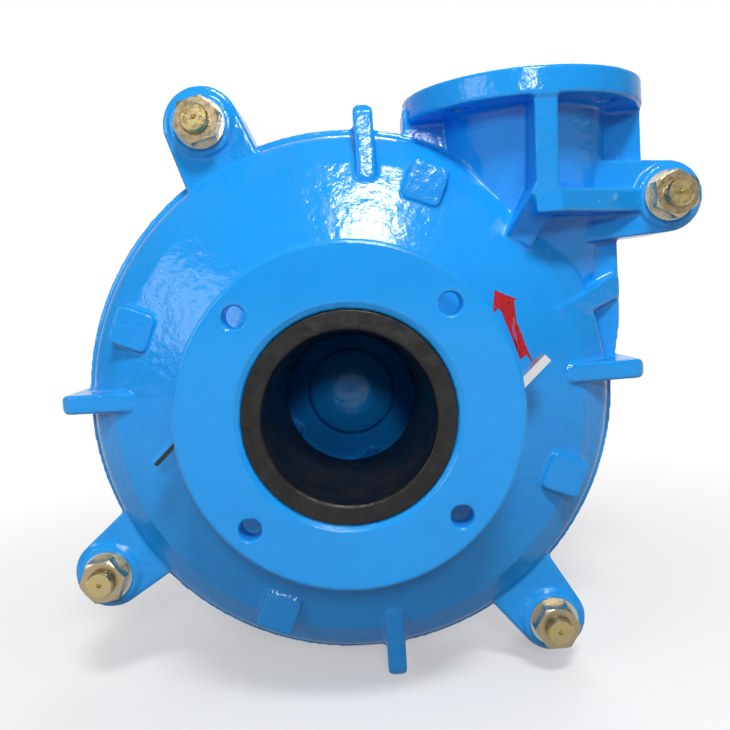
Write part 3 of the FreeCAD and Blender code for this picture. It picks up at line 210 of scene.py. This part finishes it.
def make_turning_marks():
    """Fine lathe rings: across end faces by Radius and along barrels by Y.  Pitch is rings per metre."""
    tree, inp, out = new_group(
        "turning_marks",
        [("Radius", "Float", 0.0), ("Pitch", "Float", 900.0), ("Depth", "Float", 0.00001)],
        [("Height", "Float"), ("Mask", "Float")])
    where = split_place(tree)
    along = math_node(tree, "ADD", inp.outputs["Radius"], where.outputs["Y"])
    step = math_node(tree, "MULTIPLY", along, inp.outputs["Pitch"])
    ring = node(tree, "TexNoise", noise_dimensions="1D", Scale=1.0, Detail=2.0)
    wire(tree, step, ring.inputs["W"])
    crest = stretch(tree, ring.outputs["Fac"], 0.35, 0.65)
    wire(tree, math_node(tree, "MULTIPLY", crest, inp.outputs["Depth"]), out.inputs["Height"])
    wire(tree, crest, out.inputs["Mask"])
    return tree


def make_thread():
    """Height of a screw thread along the coordinate Along, and a mask of its roots, where shade is painted.
    Across is the normal's part along the axis: end faces, where it is large, stay plain."""
    tree, inp, out = new_group(
        "thread",
        [("Along", "Float", 0.0), ("Across", "Float", 0.0), ("Pitch", "Float", 0.003),
         ("Depth", "Float", 0.0006)],
        [("Height", "Float"), ("Mask", "Float")])
    turn = math_node(tree, "DIVIDE", inp.outputs["Along"], inp.outputs["Pitch"])
    ridge = math_node(tree, "PINGPONG", turn, 0.5)
    side = stretch(tree, math_node(tree, "ABSOLUTE", inp.outputs["Across"]), 0.3, 0.5, 1.0, 0.0)
    height = math_node(tree, "MULTIPLY", math_node(tree, "MULTIPLY", ridge, inp.outputs["Depth"]), side)
    wire(tree, height, out.inputs["Height"])
    roots = stretch(tree, ridge, 0.0, 0.2, 1.0, 0.0)
    wire(tree, math_node(tree, "MULTIPLY", roots, side), out.inputs["Mask"])
    return tree


CAST_RELIEF = make_cast_relief()
PAINT_TONE = make_paint_tone()
HANDLING_MARKS = make_handling_marks()
TURNING_MARKS = make_turning_marks()
THREAD = make_thread()


def use(tree, group, **values):
    """Puts an effect into a material's tree; an underscore in a name stands for a space in its socket's."""
    made = tree.nodes.new("ShaderNodeGroup")
    made.node_tree = group
    for key, value in values.items():
        made.inputs[key.replace("_", " ")].default_value = value
    return made


def new_material(name, colour):
    """Material with a Principled shader; colour is also its plain viewport colour."""
    material = bpy.data.materials.new(name)
    material.use_nodes = True
    material.diffuse_color = (*colour, 1.0)
    tree = material.node_tree
    return material, tree, tree.nodes["Principled BSDF"]


def axis_distance(tree, axes):
    """Distance from the nearest of the given (x, z) axes, all along Y."""
    where = split_place(tree)
    nearest = None
    for x, z in axes:
        across = math_node(tree, "SUBTRACT", where.outputs["X"], x)
        up = math_node(tree, "SUBTRACT", where.outputs["Z"], z)
        square = math_node(tree, "MULTIPLY_ADD", across, across, math_node(tree, "MULTIPLY", up, up))
        distance = math_node(tree, "SQRT", square)
        nearest = distance if nearest is None else math_node(tree, "MINIMUM", nearest, distance)
    return nearest


def set_bump(tree, shader, height):
    """Bump from a height in metres."""
    bump = node(tree, "Bump", Strength=1.0, Distance=1.0)
    wire(tree, height, bump.inputs["Height"])
    wire(tree, bump.outputs[0], shader.inputs["Normal"])


# ---------------------------------------------------------------- materials
BLUE = (0.009, 0.322, 0.850)
BLUE_DEEP = (0.006, 0.235, 0.660)
PALE_DUST = (0.42, 0.5, 0.56, 1)
SCUFF = (0.8, 0.8, 0.8, 1)
# a machined face lies at Y 0; its relief is a tenth of the casting's, and whole again past these depths
MACHINED_Y = (0.001, 0.004)
MACHINED_RELIEF = 0.10
# (x, z) of the four casing bolts
BOLT_AXES = ((-0.130, 0.281), (0.3285, 0.182), (0.195, -0.246), (-0.262, -0.167))
COTTER_TURN = math.radians(47)
# across the left cotter bar, from the pump's axis: where the painted shadow along its inner edge begins and
# where it is full
COTTER_SHADOW_EDGE = (-0.0972, -0.0965)


def enamel(name, colour, deep, lump, peel, gloss, machined_face=False):
    """Gloss enamel over a casting; lump and peel are heights in metres.
    A machined face, at the intake flange, stays nearly flat."""
    material, tree, shader = new_material(name, colour)
    tone = use(tree, PAINT_TONE, Colour=(*colour, 1), Deep=(*deep, 1), Dust=PALE_DUST,
               Dust_amount=0.05, Gloss=gloss)
    wire(tree, tone.outputs["Colour"], shader.inputs["Base Color"])
    wire(tree, tone.outputs["Roughness"], shader.inputs["Roughness"])
    shader.inputs["Specular IOR Level"].default_value = 0.40
    relief = use(tree, CAST_RELIEF, Lump=lump, Peel=peel, Grain=0.00022)
    if machined_face:
        back = split_place(tree).outputs["Y"]
        wire(tree, stretch(tree, back, *MACHINED_Y, MACHINED_RELIEF, 1.0), relief.inputs["Mask"])
    set_bump(tree, shader, relief.outputs["Height"])
    return material


def rubber():
    """Moulded natural rubber, semi-matt, with pale scuffs where it was handled."""
    material, tree, shader = new_material("black_rubber", (0.011, 0.011, 0.012))
    marks = use(tree, HANDLING_MARKS, Scale=55.0, Amount=0.6)
    where = object_place(tree)
    cloud = stretch(tree, noise_node(tree, where, 38.0, 5.0, 0.65), 0.36, 0.66)
    body = mix_colour(tree, cloud, (0.003, 0.003, 0.004, 1), (0.016, 0.0145, 0.0135, 1))
    scuffed = mix_colour(tree, marks.outputs["Mask"], body, (0.055, 0.055, 0.053, 1))
    wire(tree, scuffed, shader.inputs["Base Color"])
    wire(tree, stretch(tree, cloud, 0.0, 1.0, 0.30, 0.50), shader.inputs["Roughness"])
    shader.inputs["Specular IOR Level"].default_value = 0.34
    skin = noise_node(tree, where, 600.0, 2.0)
    waves = noise_node(tree, where, 45.0, 2.0)
    height = math_node(tree, "MULTIPLY", skin, 0.00012)
    height = math_node(tree, "MULTIPLY_ADD", waves, 0.0022, height)
    set_bump(tree, shader, math_node(tree, "ADD", height, marks.outputs["Height"]))
    return material


def zinc(name, tones, rough, ring_axes=(), ring_depth=0.0, thread_along="", pitch=0.003):
    """Zinc plating over steel: metal whose tint drifts between three close tones.
    ring_axes adds lathe rings on end faces round those axes, thread_along a screw thread along Y or Z with
    painted shade in its roots."""
    colour, second, third = tones
    material, tree, shader = new_material(name, colour)
    shader.inputs["Metallic"].default_value = 1.0
    where = object_place(tree)
    drift = noise_node(tree, where, 55.0, 3.0, 0.6)
    spots = noise_node(tree, where, 210.0, 3.0, 0.65)
    tint = mix_colour(tree, stretch(tree, drift, 0.38, 0.62), (*colour, 1), (*second, 1))
    tint = mix_colour(tree, stretch(tree, spots, 0.52, 0.80, 0.0, 0.6), tint, (*third, 1))
    marks = use(tree, HANDLING_MARKS, Scale=160.0, Amount=0.35)
    tint = mix_colour(tree, marks.outputs["Mask"], tint, (0.8, 0.78, 0.72, 1))
    height = math_node(tree, "MULTIPLY_ADD", spots, 0.00002, marks.outputs["Height"])
    if ring_axes:
        rings = use(tree, TURNING_MARKS, Pitch=2600.0, Depth=ring_depth)
        wire(tree, axis_distance(tree, ring_axes), rings.inputs["Radius"])
        height = math_node(tree, "ADD", height, rings.outputs["Height"])
    if thread_along:
        place = split_place(tree)
        facing = node(tree, "SeparateXYZ")
        wire(tree, node(tree, "NewGeometry").outputs["True Normal"], facing.inputs[0])
        thread = use(tree, THREAD, Pitch=pitch, Depth=pitch * 0.5)
        wire(tree, place.outputs[thread_along], thread.inputs["Along"])
        wire(tree, facing.outputs[thread_along], thread.inputs["Across"])
        height = math_node(tree, "ADD", height, thread.outputs["Height"])
        # painted shade: the thread roots are tinted towards brown-black where the bump sinks
        root_shade = math_node(tree, "MULTIPLY", thread.outputs["Mask"], 0.75)
        tint = mix_colour(tree, root_shade, tint, (0.10, 0.08, 0.05, 1))
    wire(tree, tint, shader.inputs["Base Color"])
    wire(tree, stretch(tree, spots, 0.3, 0.7, rough, rough + 0.16), shader.inputs["Roughness"])
    set_bump(tree, shader, height)
    return material


def turned_metal(name, colour, rough, depth):
    """Turned and ground metal with lathe rings, painted shade in their grooves, and a few scuffs."""
    material, tree, shader = new_material(name, colour)
    shader.inputs["Metallic"].default_value = 1.0
    rings = use(tree, TURNING_MARKS, Pitch=1300.0, Depth=depth)
    wire(tree, axis_distance(tree, ((0.0, 0.0),)), rings.inputs["Radius"])
    marks = use(tree, HANDLING_MARKS, Scale=120.0, Amount=0.7)
    # painted shade: the ring grooves take a dimmer copy of the metal's colour
    groove_shade = tuple(c * 0.82 for c in colour)
    tint = mix_colour(tree, rings.outputs["Mask"], (*groove_shade, 1), (*colour, 1))
    wire(tree, mix_colour(tree, marks.outputs["Mask"], tint, SCUFF), shader.inputs["Base Color"])
    film = noise_node(tree, object_place(tree), 40.0, 3.0)
    wire(tree, stretch(tree, film, 0.3, 0.7, rough, rough + 0.1), shader.inputs["Roughness"])
    set_bump(tree, shader, math_node(tree, "ADD", rings.outputs["Height"], marks.outputs["Height"]))
    return material


def braid():
    """Greased square-braided gland packing, with painted shade between the strands."""
    material, tree, shader = new_material("braided_packing", (0.5, 0.46, 0.36))
    weave = node(tree, "TexVoronoi", Scale=420.0)
    wire(tree, object_place(tree), weave.inputs["Vector"])
    strand = stretch(tree, weave.outputs["Distance"], 0.0, 0.6)
    # painted shade: the colour deepens where the bump sinks between strands
    yarn = mix_colour(tree, strand, (0.56, 0.52, 0.42, 1), (0.25, 0.22, 0.16, 1))
    wire(tree, yarn, shader.inputs["Base Color"])
    shader.inputs["Roughness"].default_value = 0.6
    set_bump(tree, shader, math_node(tree, "MULTIPLY", strand, -0.0004))
    return material


def arrow_paint():
    """Thin hand-brushed red paint."""
    material, tree, shader = new_material("arrow_paint", (0.45, 0.012, 0.02))
    tone = use(tree, PAINT_TONE, Colour=(0.47, 0.012, 0.020, 1), Deep=(0.30, 0.006, 0.016, 1),
               Dust=(0.5, 0.3, 0.3, 1), Dust_amount=0.03, Gloss=0.24)
    wire(tree, tone.outputs["Colour"], shader.inputs["Base Color"])
    wire(tree, tone.outputs["Roughness"], shader.inputs["Roughness"])
    relief = use(tree, CAST_RELIEF, Lump=0.00012, Peel=0.00004, Grain=0.00008)
    set_bump(tree, shader, relief.outputs["Height"])
    return material


def cotter_bars():
    """Flat bars behind the intake flange: the right one bright, the left painted blue, with a painted
    shadow along its inner edge.
    """
    material, tree, shader = new_material("cotter_bars", (0.7, 0.7, 0.7))
    where = object_place(tree)
    place = split_place(tree)
    across = math_node(tree, "MULTIPLY", place.outputs["X"], math.cos(COTTER_TURN))
    across = math_node(tree, "MULTIPLY_ADD", place.outputs["Z"], -math.sin(COTTER_TURN), across)
    left = stretch(tree, across, -0.02, 0.02, 1.0, 0.0)
    # painted shadow: a near-black strip along the left bar's inner edge stands in for the shade beneath it
    edge = math_node(tree, "MULTIPLY", stretch(tree, across, *COTTER_SHADOW_EDGE), left)
    sheen = noise_node(tree, where, 60.0, 3.0)
    bright = mix_colour(tree, sheen, (0.62, 0.63, 0.62, 1), (0.86, 0.87, 0.86, 1))
    tint = mix_colour(tree, left, bright, (*BLUE, 1))
    wire(tree, mix_colour(tree, edge, tint, (0.006, 0.008, 0.012, 1)), shader.inputs["Base Color"])
    wire(tree, stretch(tree, left, 0.0, 1.0, 0.75, 0.0), shader.inputs["Metallic"])
    wire(tree, stretch(tree, left, 0.0, 1.0, 0.30, 0.22), shader.inputs["Roughness"])
    set_bump(tree, shader, math_node(tree, "MULTIPLY", noise_node(tree, where, 150.0, 3.0), 0.0002))
    return material


# each zinc has three tones that its tint drifts between
NUT_TONES = ((0.50, 0.39, 0.22), (0.46, 0.40, 0.28), (0.56, 0.40, 0.24))
BOLT_TONES = ((0.60, 0.46, 0.20), (0.54, 0.46, 0.24), (0.66, 0.52, 0.28))
BRIGHT_TONES = ((0.72, 0.72, 0.66), (0.66, 0.68, 0.66), (0.78, 0.75, 0.66))
THREAD_TONES = ((0.70, 0.70, 0.64), (0.64, 0.66, 0.64), (0.76, 0.73, 0.64))
MATERIALS = {
    "blue_enamel": enamel("blue_enamel", BLUE, BLUE_DEEP, 0.00052, 0.00012, 0.12, machined_face=True),
    "impeller_blue": enamel("impeller_blue", (0.008, 0.235, 0.66), (0.005, 0.16, 0.46),
                            0.0007, 0.00010, 0.11),
    "black_rubber": rubber(),
    "yellow_zinc": zinc("yellow_zinc", NUT_TONES, 0.22),
    "bolt_zinc": zinc("bolt_zinc", BOLT_TONES, 0.20, BOLT_AXES, 0.000012, "Y"),
    "bright_zinc": zinc("bright_zinc", BRIGHT_TONES, 0.24),
    "turned_steel": turned_metal("turned_steel", (0.62, 0.62, 0.61), 0.22, 0.00002),
    "race_steel": turned_metal("race_steel", (0.70, 0.70, 0.70), 0.12, 0.000004),
    "plain_iron": turned_metal("plain_iron", (0.30, 0.30, 0.31), 0.36, 0.00003),
    "lantern_brass": turned_metal("lantern_brass", (0.74, 0.53, 0.24), 0.26, 0.00002),
    "braided_packing": braid(),
}
# pieces whose threads show, by the axis that they lie along
THREADED = {
    "along_y": zinc("threaded_zinc", THREAD_TONES, 0.24, thread_along="Y", pitch=0.0025),
    "along_z": zinc("threaded_zinc_upright", THREAD_TONES, 0.24, thread_along="Z", pitch=0.002),
}

for entry in frame["record"]["subparts"]:
    mesh = nodes[entry["node"]].data
    mesh.materials.clear()
    mesh.materials.append(MATERIALS[entry["material_slot"]])
for name in ("frame_plate_studs", "gland_studs", "adjusting_screw"):
    nodes[name].data.materials[0] = THREADED["along_y"]
nodes["clamp_bolts"].data.materials[0] = THREADED["along_z"]
nodes["throat_cotters"].data.materials[0] = cotter_bars()


# ---------------------------------------------------------------- castings
# voxel size in mm and smoothing passes: together they set how round the edges are
CASTINGS = {
    "cover_plate": (1.9, 5),
    "frame_plate": (2.4, 4),
    "pedestal": (2.6, 3),
    "bearing_housing": (2.2, 3),
    "stuffing_box": (2.0, 3),
    "impeller": (1.7, 4),
}


def soften_casting(name, voxel, passes):
    """Rounds every edge and inner corner of a casting, as its sand mould does."""
    body = nodes[name]
    skin = body.modifiers.new("mould skin", "REMESH")
    skin.mode = "VOXEL"
    skin.voxel_size = voxel * MM * 1.0
    skin.use_smooth_shade = True
    smooth = body.modifiers.new("worn pattern", "SMOOTH")
    smooth.factor = 0.5
    smooth.iterations = passes


for casting, (voxel, passes) in CASTINGS.items():
    soften_casting(casting, voxel, passes)


# ---------------------------------------------------------------- rotation arrow and liner flash
def add_piece(work, name, material):
    """Makes a BMesh into an object of that name in the scene."""
    bmesh.ops.recalc_face_normals(work, faces=work.faces[:])
    mesh = bpy.data.meshes.new(name)
    work.to_mesh(mesh)
    work.free()
    mesh.materials.append(material)
    piece = bpy.data.objects.new(name, mesh)
    bpy.context.scene.collection.objects.link(piece)
    return piece


# the cover's dish: radius and depth where it begins and ends
DISH_IN_R = 131 * MM
DISH_IN_Y = 68 * MM
DISH_OUT_R = 233 * MM
DISH_OUT_Y = 110 * MM
ARROW_LIFT = 0.35 * MM
# (x, z) in mm: barbed head, straight shank, forked tail
ARROW_OUTLINE = [(143, 100), (165, 90), (156, 87), (178, 26), (171, 37), (164, 33), (147, 84), (140, 78)]
ARROW_STEP = 1.5
BRUSH_WOBBLE = 0.9
WOBBLE_SCALE = 0.35


def dish_point(x, z, lift):
    """Point on the cover's dish at (x, z), raised off it by lift."""
    radius = math.hypot(x, z)
    slope = (DISH_OUT_Y - DISH_IN_Y) / (DISH_OUT_R - DISH_IN_R)
    y = DISH_IN_Y + (radius - DISH_IN_R) * slope
    length = math.hypot(1.0, slope)
    out = Vector((x / radius * slope, -1.0, z / radius * slope)) / length
    return Vector((x, y, z)) + out * lift


def rotation_arrow():
    """Red arrow painted on the dish; the brush leaves its edges uneven."""
    points = []
    for i, (x, z) in enumerate(ARROW_OUTLINE):
        x2, z2 = ARROW_OUTLINE[(i + 1) % len(ARROW_OUTLINE)]
        steps = max(2, int(math.hypot(x2 - x, z2 - z) / ARROW_STEP))
        side = Vector((z2 - z, x - x2)).normalized()
        for k in range(steps):
            t = k / steps
            a = Vector((x + (x2 - x) * t, z + (z2 - z) * t))
            wobble = noise.noise(Vector((a.x * WOBBLE_SCALE, a.y * WOBBLE_SCALE, 3.0)))
            points.append((a + side * wobble * BRUSH_WOBBLE) * MM)
    work = bmesh.new()
    face = work.faces.new([work.verts.new((p.x, 0.0, p.y)) for p in points])
    bmesh.ops.triangulate(work, faces=[face])
    bmesh.ops.subdivide_edges(work, edges=work.edges[:], cuts=2)
    for vert in work.verts:
        vert.co = dish_point(vert.co.x, vert.co.z, ARROW_LIFT)
    arrow = add_piece(work, "rotation_arrow", arrow_paint())
    for polygon in arrow.data.polygons:
        polygon.use_smooth = True
    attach(arrow, "casing")


rotation_arrow()

# the lip runs along x from left to right, on the joint's plane at y, just inside the casing's rim radius
LIP_LEFT, LIP_RIGHT = -56 * MM, -8 * MM
LIP_JOINT_Y = 178 * MM
LIP_RIM = 271.5 * MM
LIP_ROOT = 1.5 * MM
LIP_RISE = 5.4 * MM
LIP_RISE_WAVE = 0.7 * MM
LIP_SHOULDER = 0.7 * MM
LIP_SECTIONS = 26


def liner_flash():
    """Thin lip of liner rubber squeezed out of the top of the casing joint, trimmed at its left end."""
    work = bmesh.new()
    rings = []
    for i in range(LIP_SECTIONS + 1):
        t = i / LIP_SECTIONS
        x = LIP_LEFT + (LIP_RIGHT - LIP_LEFT) * t
        base = math.sqrt(LIP_RIM * LIP_RIM - x * x) - LIP_ROOT
        wave = noise.noise(Vector((x * 90.0, 1.0, 0.0)))
        rise = (LIP_RISE + wave * LIP_RISE_WAVE) * min(1.0, 0.25 + t * 9.0)
        half = (1.3 + 0.25 * wave) * MM
        section = [(-half, 0.0), (-half, rise - LIP_SHOULDER), (-half * 0.45, rise),
                   (half * 0.45, rise), (half, rise - LIP_SHOULDER), (half, 0.0)]
        # each section leans half as far to the right as it is high
        rings.append([work.verts.new((x + 0.5 * z, LIP_JOINT_Y + y, base + z)) for y, z in section])
    for one, two in zip(rings, rings[1:]):
        for k in range(len(one)):
            j = (k + 1) % len(one)
            work.faces.new((one[k], two[k], two[j], one[j]))
    work.faces.new(rings[0])
    work.faces.new(list(reversed(rings[-1])))
    lip = add_piece(work, "liner_flash", MATERIALS["black_rubber"])
    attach(lip, "casing")


liner_flash()


# ---------------------------------------------------------------- studio
FLOOR_HALF = 12.0
# between these distances from a point under the pump the floor goes from FADE_START of white to all of it
FADE_CENTRE = (0.0, 0.35)
FADE = (0.30, 0.95)
FADE_START = 0.40
# the floor lights the pump's underside less than its own looks would
FLOOR_BOUNCE = 0.24
# the least light from all round, and how bright the room is in reflections, apart from behind the pump
SKY = 0.20
ROOM_DIM = 0.26
# the Y of a direction where the room in reflections starts to brighten, and where it is white
ROOM_TURN = (0.30, 0.95)


def floor_paper(floor_z):
    """Pale paper that fades to white away from the pump; light bounced off it is dimmer than it looks."""
    material, tree, shader = new_material("floor_paper", (0.9, 0.9, 0.9))
    where = object_place(tree)
    shade = stretch(tree, noise_node(tree, where, 3.0), 0.3, 0.7, 0.90, 0.92)
    rays = node(tree, "LightPath")
    bounce = stretch(tree, rays.outputs["Is Camera Ray"], 0.0, 1.0, FLOOR_BOUNCE, 1.0)
    shade = math_node(tree, "MULTIPLY", shade, bounce)
    pale = node(tree, "CombineColor")
    for channel in ("Red", "Green", "Blue"):
        wire(tree, shade, pale.inputs[channel])
    wire(tree, pale.outputs[0], shader.inputs["Base Color"])
    shader.inputs["Roughness"].default_value = 0.7
    shader.inputs["Specular IOR Level"].default_value = 0.2
    apart = node(tree, "VectorMath", operation="DISTANCE")
    wire(tree, where, apart.inputs[0])
    apart.inputs[1].default_value = (*FADE_CENTRE, floor_z)
    white = node(tree, "Emission", Strength=1.0)
    seen = math_node(tree, "MAXIMUM", rays.outputs["Is Camera Ray"], rays.outputs["Is Glossy Ray"])
    seen = math_node(tree, "MAXIMUM", seen, rays.outputs["Is Transmission Ray"])
    far = math_node(tree, "MULTIPLY", stretch(tree, apart.outputs["Value"], *FADE, FADE_START, 1.0), seen)
    blend = node(tree, "MixShader")
    wire(tree, far, blend.inputs[0])
    wire(tree, shader.outputs[0], blend.inputs[1])
    wire(tree, white.outputs[0], blend.inputs[2])
    wire(tree, blend.outputs[0], tree.nodes["Material Output"].inputs["Surface"])
    return material


def add_floor():
    floor_z = cad_box[0][2]
    mesh = bpy.data.meshes.new("floor")
    corners = [(x * FLOOR_HALF, y * FLOOR_HALF, floor_z) for x, y in ((-1, -1), (1, -1), (1, 1), (-1, 1))]
    mesh.from_pydata(corners, [], [(0, 1, 2, 3)])
    floor = bpy.data.objects.new("floor", mesh)
    bpy.context.scene.collection.objects.link(floor)
    mesh.materials.append(floor_paper(floor_z))


def add_surround():
    """White to the camera; reflections show white behind the pump and a dimmer room elsewhere.
    Other light from it is a faint even sky."""
    world = bpy.data.worlds.new("surround")
    bpy.context.scene.world = world
    world.use_nodes = True
    tree = world.node_tree
    back = tree.nodes["Background"]
    rays = node(tree, "LightPath")
    looking = node(tree, "SeparateXYZ")
    wire(tree, node(tree, "TexCoord").outputs["Generated"], looking.inputs[0])
    room = stretch(tree, looking.outputs["Y"], *ROOM_TURN, ROOM_DIM, 1.0)
    glossy, through = rays.outputs["Is Glossy Ray"], rays.outputs["Is Transmission Ray"]
    mirrored = math_node(tree, "MAXIMUM", glossy, through)
    strength = math_node(tree, "MULTIPLY", mirrored, room)
    strength = math_node(tree, "MAXIMUM", strength, rays.outputs["Is Camera Ray"])
    strength = math_node(tree, "MAXIMUM", strength, SKY)
    wire(tree, strength, back.inputs["Strength"])
    back.inputs["Color"].default_value = (1, 1, 1, 1)


def soft_lamp(name, place, aim, width, height, power):
    """Rectangular area lamp at a place, turned to an aim; metres and watts."""
    data = bpy.data.lights.new(name, "AREA")
    data.shape = "RECTANGLE"
    data.size = width
    data.size_y = height
    data.energy = power
    lamp = bpy.data.objects.new(name, data)
    lamp.location = place
    lamp.rotation_euler = (Vector(aim) - Vector(place)).to_track_quat("-Z", "Y").to_euler()
    bpy.context.scene.collection.objects.link(lamp)


# name, place, aim, width, height, power
LAMPS = (
    ("window_ahead", (0.20, -2.4, 1.02), (0.0, 0.0, 0.05), 0.34, 0.36, 19.0),
    ("key_above", (0.30, -1.35, 1.75), (0.0, 0.1, 0.0), 0.55, 0.36, 33.0),
    ("fill_left", (-1.9, -1.6, 0.9), (0.0, 0.2, 0.0), 1.0, 1.0, 13.0),
    ("rear_top", (0.5, 1.8, 1.6), (0.0, 0.5, 0.0), 1.2, 0.8, 14.0),
)
add_floor()
add_surround()
for lamp in LAMPS:
    soft_lamp(*lamp)

# lens and sensor in mm, place in metres, turns about X, Y and Z in degrees
CAMERA_LENS, CAMERA_SENSOR = 39.441, 36.0
CAMERA_PLACE = (0.0168, -0.6745, 0.1073)
CAMERA_TURNS = (84.7076, 3.7356, -0.3085)
camera_data = bpy.data.cameras.new("camera")
camera_data.lens = CAMERA_LENS
camera_data.sensor_width = CAMERA_SENSOR
camera = bpy.data.objects.new("camera", camera_data)
camera.location = CAMERA_PLACE
camera.rotation_euler = [math.radians(turn) for turn in CAMERA_TURNS]
bpy.context.scene.collection.objects.link(camera)
bpy.context.scene.camera = camera
bpy.context.scene.view_settings.view_transform = "Standard"
